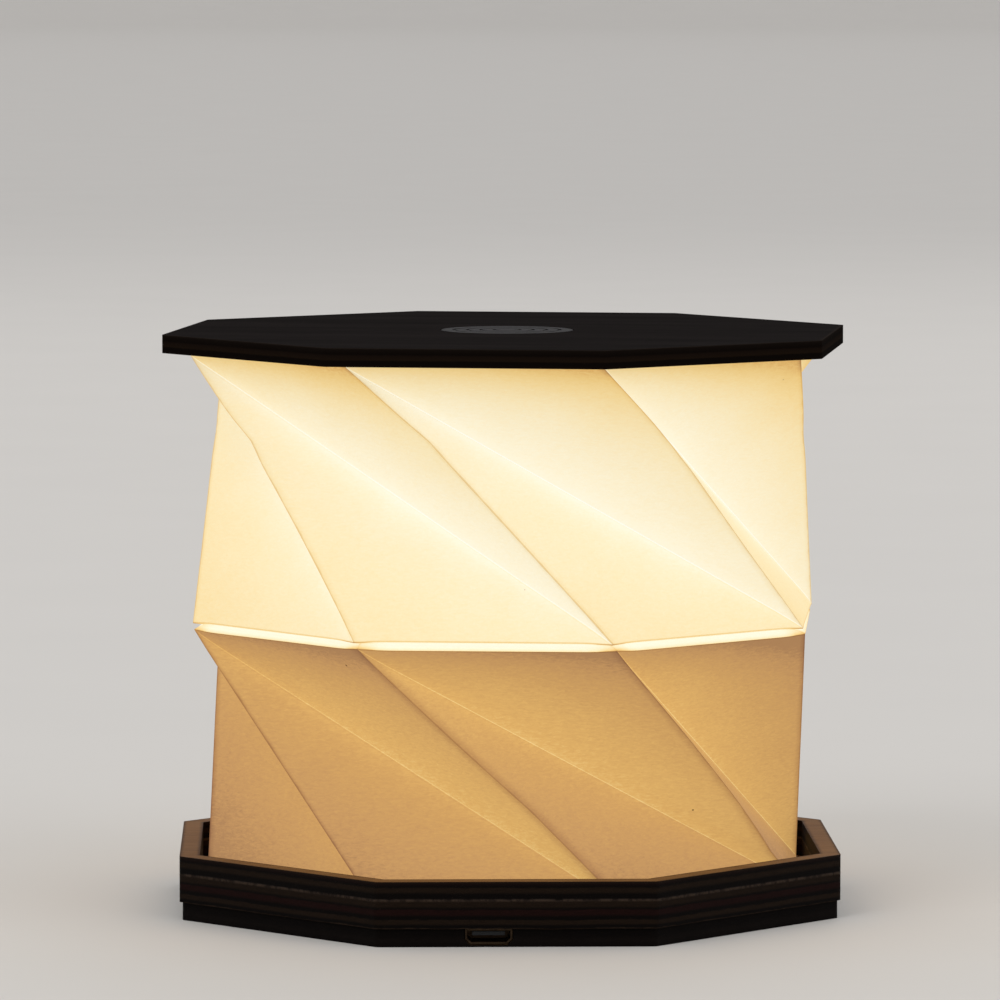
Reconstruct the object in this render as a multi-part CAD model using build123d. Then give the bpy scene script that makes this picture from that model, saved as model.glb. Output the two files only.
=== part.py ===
from build123d import *
import math
import os

# A folding paper table lantern. An octagonal tray of glued plywood sheets holds the
# battery, the charging board and the light. Two tiers of twist-folded paper stand in
# the tray, joined by a V-shaped fold, and carry an octagonal plywood top plate with a
# turned steel disc let into it. Each tier folds flat by turning as it is pressed down.
# Millimetres and degrees. +Z is up, the origin is under the middle of the tray, and
# the charging port faces -Y.

# ---------------------------------------------------------------- driving sizes
side_count = 8
octagon_radius = 58.5        # tray and top plate, centre to corner
corner_round = 1.2

foot_thick = 3.0             # bottom sheet of the tray
deck_thick = 1.5             # thin sheet that carries the light and the shade
spacer_thick = 3.0           # ring between deck and rim
rim_thick = 3.0              # pale ring round the shade
foot_inset = 0.5             # how far the bottom sheet stands back from the others
rim_width = 3.3
plate_thick = 3.0            # top plate

lower_tier_height = 42.25
mid_fold_height = 1.35
upper_tier_height = 44.1
foot_turn = -2.1             # the shade is glued into the tray this much off square
foot_draw_in = 1.1           # its foot is drawn in, to stand clear of the rings
mid_fold_turn = -0.8         # upper tier against lower tier, across the fold between
plate_glue_turn = -1.4       # top plate against the shade's upper edge

paper_wall = 0.6             # paper with its glued overlap, measured at a corner
hem_width = 7.0              # flaps glued to the deck and under the top plate
hem_thick = 0.3
flap_thick = 0.3             # paper of the fold between the tiers
groove_depth = 1.7
flap_width = 6.0
paper_gap = 0.3              # between paper that moves and what lies next to it

disc_diameter = 22.0
disc_thick = 1.0
disc_groove_depth = 0.12
disc_groove_width = 0.5
disc_groove_count = 4
disc_edge = 0.15             # chamfer round its upper edge
magnet_diameter = 10.0
magnet_thick = 1.5

pocket_floor = 0.8           # wood left under the battery and the boards
pocket_roof = 0.6            # wood left over the battery
battery_headroom = 0.1       # between the battery and that wood
battery_width = 30.0
battery_length = 40.0
battery_y = 10.0
battery_round = 1.2
pocket_clearance = 0.5

port_x = -4.4                # the port is a little left of the middle of its face
port_z = 0.5                 # underside of the port's shell
port_width = 7.5
port_height = 2.45
port_chamfer = 0.8           # the port's lower corners are cut off
port_wall = 0.3
port_depth = 5.0
port_clearance = 0.15
port_tongue_size = (5.2, 3.4, 0.6)
port_contact_count = 5
port_contact_pitch = 0.65
port_contact_size = (0.3, 2.7, 0.08)

board_size = (17.0, 15.0, 0.8)
board_setback = 1.2          # front edge of the charging board, behind the port's mouth
chip_headroom = 0.3          # between the tallest of the chips and the deck over it
# What sits on the charging board: sizes, and places as shares of half its width and
# of its length behind the port, from its back edge.
charger_size = (4.9, 3.9, 1.5)
charger_place = (-0.47, 0.47)
driver_size = (2.9, 1.6, 1.1)
driver_place = (0.35, 0.72)
coil_diameter = 4.0
coil_height = 1.8
coil_place = (0.64, 0.38)
capacitor_size = (2.0, 1.2, 1.2)
capacitor_places = ((-0.76, 0.78), (-0.31, 0.78))
channel_width = 7.0          # run for the wires, from the battery to the board
wire_diameter = 1.0
wire_spacing = 1.4
wire_bend = 1.2
solder_length = 1.6          # bared end of a wire, on the charging board
lead_stub = 0.4              # wire standing out above the light board

light_board_margin = 1.0     # board outside the heads of its screws
light_board_thick = 1.0
lamp_count = 12
lamp_circle_radius = 12.0
lamp_size = (2.8, 3.5, 0.7)
sensor_size = (2.9, 1.6, 1.0)
light_screw_diameter = 2.0
light_screw_head_diameter = 3.6
light_screw_head_height = 1.2
light_screw_grip = 2.5       # how deep these screws go into the sheets under it
screw_wall = 0.65            # wood between a screw's hole and the battery's pocket
lead_hole_y = -15.6
lead_hole_diameter = 4.0

diffuser_gap = 0.8           # between the light board and its cover
diffuser_wall = 1.2
diffuser_skirt_height = 4.6
diffuser_peg_diameter = 1.2
diffuser_peg_length = 1.2
diffuser_peg_count = 3
diffuser_peg_angle = 30.0    # where the first peg stands, from +X
dome_knee = 0.72             # share of its radius where the cover starts to drop
dome_fall = 0.9              # how far it has fallen there
boss_radius = 6.3
boss_height = 0.75           # boss over the cover's dome
catch_diameter = 10.0
catch_thick = 0.5
latch_gap = 0.3              # between catch and magnet when the lantern is shut

rim_clearance = 0.3          # between the rim and the fold that comes down on it
folded_tier_thick = 1.0      # the upper tier, folded flat

seat_clearance = 0.05        # round a screw, peg, wire, disc or magnet in its hole
overrun = 1.0                # how far a cut runs past the face it opens
slot_width = 0.5

# ---------------------------------------------------------------- derived places
step = 360.0 / side_count
half_step = step / 2
flat_ratio = math.cos(math.radians(half_step))      # flat's distance over corner's
octagon_flat = octagon_radius * flat_ratio
# Folded flat, the corners of the middle fold lie over the middles of the plates'
# sides. The shade is sized so that they end there flush.
shade_radius = octagon_flat
deck_bottom = foot_thick
deck_top = deck_bottom + deck_thick
spacer_top = deck_top + spacer_thick
rim_top = spacer_top + rim_thick
fold_bottom = deck_top + lower_tier_height
fold_top = fold_bottom + mid_fold_height
plate_bottom = fold_top + upper_tier_height
plate_top = plate_bottom + plate_thick
foot_front = -(octagon_flat - foot_inset)           # face that the port is set in
light_board_top = deck_top + light_board_thick
shut_plate_bottom = rim_top + rim_clearance + mid_fold_height + folded_tier_thick
catch_top = shut_plate_bottom - latch_gap
board_front = foot_front + board_setback
board_back = board_front + board_size[1]
board_notch_back = foot_front + port_depth + port_clearance
pocket_top = deck_top - pocket_roof
battery_thick = pocket_top - battery_headroom - pocket_floor
battery_size = (battery_width, battery_length, battery_thick)
chip_top = pocket_floor + board_size[2] + coil_height
chip_roof = chip_top + chip_headroom - deck_bottom  # how far that pocket goes into the deck
battery_front = battery_y - battery_size[1] / 2
wire_level = pocket_floor + board_size[2] + wire_diameter / 2
# The light board's screws stand just clear of the battery. The board takes its size
# from them, and its cover from the board.
light_pilot_diameter = light_screw_diameter + 2 * seat_clearance
pocket_side = battery_width / 2 + pocket_clearance
light_screw_x = pocket_side + screw_wall + light_pilot_diameter / 2
light_board_radius = light_screw_x + light_screw_head_diameter / 2 + light_board_margin
light_board_diameter = 2 * light_board_radius
diffuser_radius = light_board_radius + diffuser_gap + diffuser_wall


def tier_turn(height):
    """How far a tier's upper edge is turned against its lower edge at this height.

    The fold lines neither stretch nor shrink: the mean square of the short and the
    long one stays as it is when the tier lies flat, where the edges are half a side
    out of step.
    """
    square = height ** 2 / (2 * shade_radius ** 2 * flat_ratio)
    span = math.degrees(math.acos(square)) - half_step
    return -(span - step)


fold_turn = foot_turn + tier_turn(lower_tier_height)
upper_turn = fold_turn + mid_fold_turn
head_turn = upper_turn + tier_turn(upper_tier_height)
plate_turn = head_turn + plate_glue_turn
foot_radius = shade_radius - foot_draw_in


# ---------------------------------------------------------------- shared shapes
def octagon_slab(radius, bottom, thick, turn=0.0, corner=corner_round):
    outline = RegularPolygon(radius, side_count, rotation=half_step + turn)
    slab = extrude(outline, thick)
    if corner > 0:
        slab = fillet(slab.edges().filter_by(Axis.Z), corner)
    return Pos(0, 0, bottom) * slab


def octagon_ring(radius, inner_radius, bottom, thick, turn=0.0, corner=corner_round):
    hole = octagon_slab(inner_radius, bottom - overrun, thick + 2 * overrun, turn, 0.0)
    return octagon_slab(radius, bottom, thick, turn, corner) - hole


def disc(diameter, bottom, thick, x=0.0, y=0.0):
    return Pos(x, y, bottom) * extrude(Circle(diameter / 2), thick)


def block(size, x, y, bottom):
    """A box by its size, the middle of its base and the height of its base."""
    return Pos(x, y, bottom) * extrude(Rectangle(size[0], size[1]), size[2])


def on_circle(radius, count, first_angle):
    """Points evenly round a circle, the first one at this angle from +X."""
    angles = [math.radians(first_angle + k * 360 / count) for k in range(count)]
    return [(radius * math.cos(a), radius * math.sin(a)) for a in angles]


# ---------------------------------------------------------------- folded paper
def fold_ring(radius, height, turn):
    """Corners of one octagonal fold line, counterclockwise from the front left."""
    corners = []
    for k in range(side_count):
        angle = math.radians(-90 - half_step + turn + k * step)
        corners.append((radius * math.cos(angle), radius * math.sin(angle), height))
    return corners


def triangle(a, b, c):
    return Face(Wire.make_polygon([Vector(*a), Vector(*b), Vector(*c)], close=True))


def facets(upper, lower, lead):
    """Triangles between two rings. Each upper corner's long fold line runs to the
    lower corner that is lead places further round."""
    faces = []
    for k in range(side_count):
        a = upper[k]
        b = upper[(k + 1) % side_count]
        c = lower[(k + lead) % side_count]
        d = lower[(k + lead - 1) % side_count]
        faces.append(triangle(a, b, c))
        faces.append(triangle(a, d, c))
    return faces


def solid_of(faces):
    return Solid(Shell(faces))


def shade_tier(bottom, top, bottom_turn, top_turn, bottom_radius):
    """A tier's paper wall, short of its neighbours by the paper gap at both ends."""
    low = bottom + paper_gap
    high = top - paper_gap
    outer_low = fold_ring(bottom_radius, low, bottom_turn)
    outer_high = fold_ring(shade_radius, high, top_turn)
    inner_low = fold_ring(bottom_radius - paper_wall, low, bottom_turn)
    inner_high = fold_ring(shade_radius - paper_wall, high, top_turn)
    wall = facets(outer_high, outer_low, 2) + facets(inner_high, inner_low, 2)
    ends = facets(inner_high, outer_high, 1) + facets(inner_low, outer_low, 1)
    return solid_of(wall + ends)


def mid_fold():
    """The V between the tiers: a rising flap of the lower one meets a level flap of
    the upper one, and both run inwards, glued face to face."""
    groove_height = fold_top - 2 * flap_thick
    profile = [
        (0.0, fold_bottom, 0.0),
        (groove_depth, groove_height + flap_thick / 2, 0.5),
        (0.0, fold_top - flap_thick / 2, 1.0),
        (0.0, fold_top, 1.0),
        (flap_width, fold_top, 1.0),
        (flap_width, groove_height, 1.0),
        (groove_depth + flap_thick, groove_height, 0.5),
        (flap_thick, fold_bottom, 0.0),
    ]
    rings = []
    for inward, height, share in profile:
        turn = fold_turn + share * mid_fold_turn
        rings.append(fold_ring(shade_radius - inward, height, turn))
    faces = []
    for k, ring in enumerate(rings):
        faces += facets(ring, rings[(k + 1) % len(rings)], 1)
    return solid_of(faces)


def hem(bottom, turn, radius):
    """Flaps turned inwards from a tier's edge, as one flat ring."""
    return octagon_ring(radius - paper_gap, radius - hem_width, bottom, hem_thick, turn, 0.0)


# ---------------------------------------------------------------- port
def port_outline(margin):
    """The port's section, wide side up, grown all round by the margin."""
    half = port_width / 2
    cut = port_chamfer
    corners = [
        (-half, port_height),
        (half, port_height),
        (half, cut),
        (half - cut, 0),
        (-half + cut, 0),
        (-half, cut),
    ]
    section = make_face(Polyline(corners, close=True))
    if margin != 0:
        section = offset(section, margin, kind=Kind.INTERSECTION)
    return section


def port_bar(margin, front, length):
    """The port's section drawn back from a front face into the tray."""
    place = Plane(origin=(port_x, front, port_z), x_dir=(1, 0, 0), z_dir=(0, -1, 0))
    return extrude(place * port_outline(margin), -length)


def usb_shell():
    cavity = port_bar(-port_wall, foot_front - overrun, port_depth + overrun - port_wall)
    return port_bar(0, foot_front, port_depth) - cavity


def usb_tongue():
    back = foot_front + port_depth - port_wall
    bottom = port_z + port_height / 2
    tongue = block(port_tongue_size, port_x, back - port_tongue_size[1] / 2, bottom)
    contact_bottom = bottom - port_contact_size[2]
    for k in range(port_contact_count):
        x = port_x + (k - (port_contact_count - 1) / 2) * port_contact_pitch
        tongue += block(port_contact_size, x, back - port_contact_size[1] / 2, contact_bottom)
    return tongue


# ---------------------------------------------------------------- tray
def battery_pocket(bottom, top):
    width, length, _ = battery_size
    size = (width + 2 * pocket_clearance, length + 2 * pocket_clearance, top - bottom)
    return block(size, 0, battery_y, bottom)


def board_pocket(bottom, top):
    width = board_size[0] + 2 * pocket_clearance
    back = board_back + pocket_clearance
    length = back - board_front
    return block((width, length, top - bottom), port_x, board_front + length / 2, bottom)


def foot_plate():
    radius = octagon_radius - foot_inset / flat_ratio
    plate = octagon_slab(radius, 0, foot_thick)
    above = foot_thick + overrun
    plate -= battery_pocket(pocket_floor, above)
    plate -= board_pocket(pocket_floor, above)
    channel_length = battery_front - board_back + 2 * overrun
    channel_middle = (battery_front + board_back) / 2
    channel = (channel_width, channel_length, above)
    plate -= block(channel, port_x, channel_middle, pocket_floor)
    mouth = foot_front - overrun
    port_room = port_depth + overrun + port_clearance
    plate -= port_bar(port_clearance, mouth, port_room)
    slot = (port_width + 2 * port_clearance, port_room, foot_thick)
    plate -= block(slot, port_x, mouth + port_room / 2, port_z + port_height / 2)
    return plate - light_screw_holes()


def deck_plate():
    plate = octagon_slab(octagon_radius, deck_bottom, deck_thick)
    below = deck_bottom - overrun
    plate -= battery_pocket(below, pocket_top)
    plate -= board_pocket(below, deck_bottom + chip_roof)
    plate -= disc(lead_hole_diameter, below, deck_thick + 2 * overrun, port_x, lead_hole_y)
    plate -= light_screw_holes()
    for x, y in peg_places():
        hole = diffuser_peg_diameter + 2 * seat_clearance
        depth = diffuser_peg_length + seat_clearance
        plate -= disc(hole, deck_top - depth, depth + overrun, x, y)
    return plate


def light_screw_holes():
    """Pilot holes for the light board's screws, down through the deck."""
    depth = light_screw_grip + seat_clearance
    bottom = deck_top - depth
    left = disc(light_pilot_diameter, bottom, depth + overrun, -light_screw_x)
    return left + disc(light_pilot_diameter, bottom, depth + overrun, light_screw_x)


def ring_inner_radius():
    return (octagon_flat - rim_width) / flat_ratio


def spacer_ring():
    return octagon_ring(octagon_radius, ring_inner_radius(), deck_top, spacer_thick)


def rim_ring():
    return octagon_ring(octagon_radius, ring_inner_radius(), spacer_top, rim_thick)


# ---------------------------------------------------------------- power
def battery_cell():
    cell = block(battery_size, 0, battery_y, pocket_floor)
    return fillet(cell.edges().filter_by(Axis.Y), battery_round)


def charge_board():
    middle = (board_front + board_back) / 2
    board = block(board_size, port_x, middle, pocket_floor)
    notch_length = board_notch_back - board_front + overrun
    notch = (port_width + 2 * port_clearance, notch_length, foot_thick)
    notch_middle = board_notch_back - notch_length / 2
    return board - block(notch, port_x, notch_middle, pocket_floor - overrun)


def on_board(place):
    """A place on the charging board, from shares of its half width and free length."""
    x = port_x + place[0] * board_size[0] / 2
    return x, board_back - place[1] * (board_back - board_notch_back)


def charge_chips():
    top = pocket_floor + board_size[2]
    pieces = [
        block(charger_size, *on_board(charger_place), top),
        block(driver_size, *on_board(driver_place), top),
        disc(coil_diameter, top, coil_height, *on_board(coil_place)),
    ]
    for place in capacitor_places:
        pieces.append(block(capacitor_size, *on_board(place), top))
    return pieces


def wire(points):
    path = Line(*points) if len(points) == 2 else FilletPolyline(*points, radius=wire_bend)
    start = Plane(origin=path @ 0, z_dir=path % 0)
    return sweep(start * Circle(wire_diameter / 2), path=path)


def battery_leads():
    """Two wires from the battery to the charging board, the outer two of four."""
    leads = []
    for side in (-1, 1):
        x = port_x + side * wire_spacing * 1.5
        start = (x, board_back - solder_length, wire_level)
        leads.append(wire([start, (x, battery_front, wire_level)]))
    return leads


def led_leads():
    """Two wires from the charging board up through the deck to the light board."""
    leads = []
    for x in led_lead_places():
        start = (x, board_back - solder_length, wire_level)
        corner = (x, lead_hole_y, wire_level)
        end = (x, lead_hole_y, light_board_top + lead_stub)
        leads.append(wire([start, corner, end]))
    return leads


# ---------------------------------------------------------------- light
def led_lead_places():
    """Where the two wires of the light board stand, the inner two of four."""
    return [port_x + side * wire_spacing / 2 for side in (-1, 1)]


def led_board():
    board = disc(light_board_diameter, deck_top, light_board_thick)
    below = deck_top - overrun
    through = light_board_thick + 2 * overrun
    for side in (-1, 1):
        board -= disc(light_pilot_diameter, below, through, side * light_screw_x)
    for x in led_lead_places():
        lead_hole = wire_diameter + 2 * seat_clearance
        board -= disc(lead_hole, below, through, x, lead_hole_y)
    return board


def led_chips():
    lamp = block(lamp_size, lamp_circle_radius, 0, light_board_top)
    return [Rot(0, 0, (k + 0.5) * 360 / lamp_count) * lamp for k in range(lamp_count)]


def led_board_screws():
    diameter = light_screw_head_diameter
    slot = (diameter + overrun, slot_width, slot_width + overrun)
    slot_bottom = light_board_top + light_screw_head_height - slot_width
    grip = light_board_thick + light_screw_grip
    screws = []
    for x in (-light_screw_x, light_screw_x):
        head = disc(diameter, light_board_top, light_screw_head_height, x)
        head -= block(slot, x, 0, slot_bottom)
        screws.append(head + disc(light_screw_diameter, light_board_top - grip, grip, x))
    return screws


def lid_sensor():
    return block(sensor_size, 0, 0, light_board_top)


def peg_places():
    radius = diffuser_radius - diffuser_wall / 2
    return on_circle(radius, diffuser_peg_count, diffuser_peg_angle)


def dome(radius, crown, skirt_top):
    """The curve of the cover's roof, from the boss out and down to the skirt."""
    knee = (radius * dome_knee, crown - dome_fall)
    ends = [(1, 0), (0, -1)]
    return Spline((boss_radius, crown), knee, (radius, skirt_top), tangents=ends)


def diffuser():
    """Shallow opal cover with a boss in the middle that holds the catch."""
    skirt_top = deck_top + diffuser_skirt_height
    recess_bottom = catch_top - catch_thick
    recess = catch_diameter / 2 + seat_clearance
    inner = diffuser_radius - diffuser_wall
    crown = catch_top - boss_height
    ceiling = crown - diffuser_wall
    section = [
        Polyline((0, recess_bottom), (recess, recess_bottom), (recess, catch_top)),
        Polyline((recess, catch_top), (boss_radius, catch_top), (boss_radius, crown)),
        dome(diffuser_radius, crown, skirt_top),
        Polyline((diffuser_radius, skirt_top), (diffuser_radius, deck_top), (inner, deck_top)),
        Line((inner, deck_top), (inner, skirt_top)),
        dome(inner, ceiling, skirt_top),
        Polyline((boss_radius, ceiling), (0, ceiling), (0, recess_bottom)),
    ]
    cover = revolve(Plane.XZ * make_face(section), Axis.Z)
    peg_height = diffuser_peg_length + diffuser_wall
    for x, y in peg_places():
        cover += disc(diffuser_peg_diameter, deck_top - diffuser_peg_length, peg_height, x, y)
    return cover


def catch_disc():
    return disc(catch_diameter, catch_top - catch_thick, catch_thick)


# ---------------------------------------------------------------- top
def top_plate():
    plate = octagon_slab(octagon_radius, plate_bottom, plate_thick, plate_turn)
    recess = disc_diameter + 2 * seat_clearance
    plate -= disc(recess, plate_top - disc_thick, disc_thick + overrun)
    bore = magnet_diameter + 2 * seat_clearance
    return plate - disc(bore, plate_bottom - overrun, magnet_thick + overrun)


def spun_disc():
    """Turned steel disc with fine rings cut round its middle."""
    body = disc(disc_diameter, plate_top - disc_thick, disc_thick)
    body = chamfer(body.edges().group_by(Axis.Z)[-1], disc_edge)
    pitch = disc_diameter / 2 / (disc_groove_count + 1)
    for k in range(disc_groove_count):
        radius = (k + 1) * pitch
        ring = Circle(radius + disc_groove_width / 2) - Circle(radius - disc_groove_width / 2)
        body -= Pos(0, 0, plate_top - disc_groove_depth) * extrude(ring, overrun)
    return body


def lid_magnet():
    return disc(magnet_diameter, plate_bottom, magnet_thick)


# ---------------------------------------------------------------- files
def write(name, pieces):
    if isinstance(pieces, list):
        pieces = Compound(children=pieces)
    export_step(pieces, "parts/" + name + ".step")


os.makedirs("parts", exist_ok=True)
nodes = {
    "foot_plate": foot_plate(),
    "deck_plate": deck_plate(),
    "spacer_ring": spacer_ring(),
    "rim_ring": rim_ring(),
    "usb_shell": usb_shell(),
    "usb_tongue": usb_tongue(),
    "battery_cell": battery_cell(),
    "battery_leads": battery_leads(),
    "charge_board": charge_board(),
    "charge_chips": charge_chips(),
    "led_leads": led_leads(),
    "led_board": led_board(),
    "led_chips": led_chips(),
    "led_board_screws": led_board_screws(),
    "lid_sensor": lid_sensor(),
    "light_diffuser": diffuser(),
    "catch_disc": catch_disc(),
    "shade_foot_hem": hem(deck_top, foot_turn, foot_radius),
    "shade_lower": shade_tier(deck_top + hem_thick, fold_bottom, foot_turn, fold_turn, foot_radius),
    "mid_fold": mid_fold(),
    "shade_upper": shade_tier(fold_top, plate_bottom - hem_thick, upper_turn, head_turn, shade_radius),
    "shade_head_hem": hem(plate_bottom - hem_thick, head_turn, shade_radius),
    "top_plate": top_plate(),
    "spun_disc": spun_disc(),
    "lid_magnet": lid_magnet(),
}
for node_name, node_pieces in nodes.items():
    write(node_name, node_pieces)
print("turn of the middle fold", round(fold_turn, 2), "and of the top plate", round(plate_turn, 2))
print("height open", plate_top, "and shut", shut_plate_bottom + plate_thick)
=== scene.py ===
import math

import bmesh
import bpy
import numpy as np
from mathutils import Matrix, Vector


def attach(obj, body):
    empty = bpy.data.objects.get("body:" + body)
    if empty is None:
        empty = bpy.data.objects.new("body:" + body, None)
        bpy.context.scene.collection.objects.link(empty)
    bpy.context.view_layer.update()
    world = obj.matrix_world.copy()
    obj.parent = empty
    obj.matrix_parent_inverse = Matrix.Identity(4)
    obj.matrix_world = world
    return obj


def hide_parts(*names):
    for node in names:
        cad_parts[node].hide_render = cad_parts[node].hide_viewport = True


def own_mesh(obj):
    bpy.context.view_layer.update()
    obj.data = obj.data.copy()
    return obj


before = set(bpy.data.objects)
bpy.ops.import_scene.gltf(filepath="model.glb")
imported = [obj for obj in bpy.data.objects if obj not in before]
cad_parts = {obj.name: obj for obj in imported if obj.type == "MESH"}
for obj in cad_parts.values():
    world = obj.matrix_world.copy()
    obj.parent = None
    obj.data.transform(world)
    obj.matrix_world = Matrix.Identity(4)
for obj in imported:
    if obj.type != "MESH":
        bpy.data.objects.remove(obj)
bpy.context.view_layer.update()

# Sizes are in millimetres and degrees, as in the part's source. mm turns them into metres.
mm = 0.001

# ---------------------------------------------------------------- sizes of the folded paper
side_count = 8
corner_step = 360.0 / side_count
shade_radius = 54.05
foot_radius = 52.95
foot_turn = -2.1
fold_turn = -5.287
upper_turn = -6.087
head_turn = -7.467
plate_turn = -8.867
deck_top = 4.5
flap_thick = 0.3
fold_bottom = 46.85
fold_top = 48.3
fold_middle = fold_bottom + 0.7     # parts what belongs to the lower lip from the rest
plate_bottom = 92.2
plate_thick = 3.0
paper_thick = 0.3
edge_gap = 0.03              # hair's breadth between one piece of paper and the next
fold_side = 41.4             # length of one side of the fold between the tiers
facet_sag = 0.35             # how far the middle of a facet sags inwards
facet_rows = 30              # how finely each paper triangle is divided
dent_length = 0.06           # of a dent on a ridge, as a share of the ridge
smooth_angle = 9             # folds sharper than this keep a sharp edge
corner_pinch = 0.2           # how far each lip of the fold is drawn in at a corner
pinch_reach = 2.6            # how far that shows along the lips
pinch_rise = 5.0             # and how far up or down the walls
right_corner = 3             # the corner of the top edge under the plate's right end
corner_bulge = 1.35          # how far it stands out there
flap_start = 0.4             # how far in from the paper's edge a flap starts
flap_end = 7.0               # and where it ends

# ---------------------------------------------------------------- sizes of the plywood
tray_flat = 54.05            # middle of the tray to the middle of a side
rim_inner_flat = 50.75
plate_flat = 54.05
tray_height = 10.5
glue_line = 7.5              # the joint under the rim, where the glue shows

# ---------------------------------------------------------------- places of the small parts
gilt_top = 1.69              # the contacts under the port's tongue are gilt up to here
tape_edge = -5.2             # from here to the wire end, tape covers the battery
wire_parting = -4.5          # between the red wire and the black one
lamp_ring = 12.0             # radius of the ring of lamps
track_reach = 3.0            # how far the ring track reaches to either side of the lamps


def srgb(red, green, blue):
    """A colour read as 0 to 255 values, as the linear colour that a socket takes."""
    shares = [value / 255 for value in (red, green, blue)]
    linear = [s / 12.92 if s <= 0.04045 else ((s + 0.055) / 1.055) ** 2.4 for s in shares]
    return (*linear, 1.0)


def scaled(colour, share):
    return (*(channel * share for channel in colour[:3]), 1.0)


def grey(share):
    return (share, share, share, 1.0)


# ---------------------------------------------------------------- finishes
class Value:
    """A socket in a finish. Arithmetic on it adds Math nodes."""

    def __init__(self, finish, socket):
        self.finish = finish
        self.socket = socket

    def math(self, operation, first, second=0.0):
        return self.finish.node("ShaderNodeMath", {"operation": operation}, {0: first, 1: second})

    def __add__(self, other):
        return self.math("ADD", self, other)

    def __sub__(self, other):
        return self.math("SUBTRACT", self, other)

    def __rsub__(self, other):
        return self.math("SUBTRACT", other, self)

    def __mul__(self, other):
        return self.math("MULTIPLY", self, other)

    def __truediv__(self, other):
        return self.math("DIVIDE", self, other)

    def __abs__(self):
        return self.math("ABSOLUTE", self)

    __radd__ = __add__
    __rmul__ = __mul__


class Finish:
    """A material, made from one Principled shader whose sockets are set by name."""

    def __init__(self, name, **fixed):
        self.material = bpy.data.materials.new(name)
        self.material.use_nodes = True
        self.tree = self.material.node_tree
        self.shader = self.tree.nodes["Principled BSDF"]
        for socket, value in fixed.items():
            self.set(socket.replace("_", " "), value)

    def feed(self, socket, value):
        if isinstance(value, Value):
            self.tree.links.new(value.socket, socket)
        else:
            socket.default_value = value

    def set(self, socket, value):
        self.feed(self.shader.inputs[socket], value)

    def node(self, kind, settings=None, sockets=None, output=0):
        """Any node: its settings first, then values or links for its sockets."""
        made = self.tree.nodes.new(kind)
        for name, value in (settings or {}).items():
            if name == "stops":
                ramp = made.color_ramp.elements
                while len(ramp) < len(value):
                    ramp.new(1.0)
                for stop, (place, colour) in zip(ramp, value):
                    stop.position = place
                    stop.color = colour
            else:
                setattr(made, name, value)
        for name, value in (sockets or {}).items():
            self.feed(made.inputs[name], value)
        return Value(self, made.outputs[output])

    def place(self):
        """Where the point is on its piece, in metres."""
        return self.node("ShaderNodeTexCoord", output=3)

    def axis(self, vector, index):
        return self.node("ShaderNodeSeparateXYZ", None, {0: vector}, index)

    def from_middle(self):
        """Distance from the upright axis, in millimetres."""
        place = self.place()
        across = self.axis(place, 0)
        along = self.axis(place, 1)
        square = across * across + along * along
        return square.math("SQRT", square) * (1 / mm)

    def measured(self, name):
        """A number kept on the mesh."""
        return self.node("ShaderNodeAttribute", {"attribute_name": name}, output=2)

    def stretched(self, vector, by):
        return self.node("ShaderNodeVectorMath", {"operation": "MULTIPLY"}, {0: vector, 1: by})

    def noise(self, vector, size, detail=3.0, roughness=0.5, distortion=0.0):
        """Cloudy noise from 0 to 1, with lumps of this size in millimetres."""
        sockets = {
            "Vector": vector,
            "Scale": 1 / (size * mm),
            "Detail": detail,
            "Roughness": roughness,
            "Distortion": distortion,
        }
        return self.node("ShaderNodeTexNoise", None, sockets)

    def rise(self, value, start, end):
        """0 up to start, 1 from end on, and smooth between."""
        sockets = {"Value": value, "From Min": start, "From Max": end}
        return self.node("ShaderNodeMapRange", {"interpolation_type": "SMOOTHSTEP"}, sockets)

    def mix(self, share, first, second, blend="MIX"):
        settings = {"data_type": "RGBA", "blend_type": blend, "clamp_factor": True}
        return self.node("ShaderNodeMix", settings, {0: share, 6: first, 7: second}, 2)

    def tinted(self, colour, tone, share=1.0):
        """The colour multiplied by a tone, as far as share says."""
        return self.mix(share, colour, tone, "MULTIPLY")

    def ramp(self, share, stops):
        return self.node("ShaderNodeValToRGB", {"stops": stops}, {0: share})

    def facing_up(self):
        """1 on a face that looks straight up or down, 0 on an upright one."""
        normal = self.node("ShaderNodeNewGeometry", output=1)
        upward = self.axis(normal, 2)
        return self.rise(abs(upward), 0.5, 0.8)

    def turned(self, turn):
        """Where the point is on a piece that stands turned by this many degrees."""
        sockets = {"Vector": self.place(), "Angle": -math.radians(turn)}
        return self.node("ShaderNodeVectorRotate", {"rotation_type": "Z_AXIS"}, sockets)

    def octagon(self, turn=0.0):
        """Distance from the upright axis, measured square to an octagon's nearest side."""
        place = self.turned(turn)
        across = abs(self.axis(place, 0))
        along = abs(self.axis(place, 1))
        square = across.math("MAXIMUM", across, along)
        slanted = (across + along) * math.sqrt(0.5)
        return square.math("MAXIMUM", square, slanted) * (1 / mm)

    def bump(self, height, depth, strength=1.0):
        """The height, from 0 to 1, worn into the surface to this depth in millimetres."""
        sockets = {"Height": height, "Strength": strength, "Distance": depth * mm}
        self.set("Normal", self.node("ShaderNodeBump", None, sockets))


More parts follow.
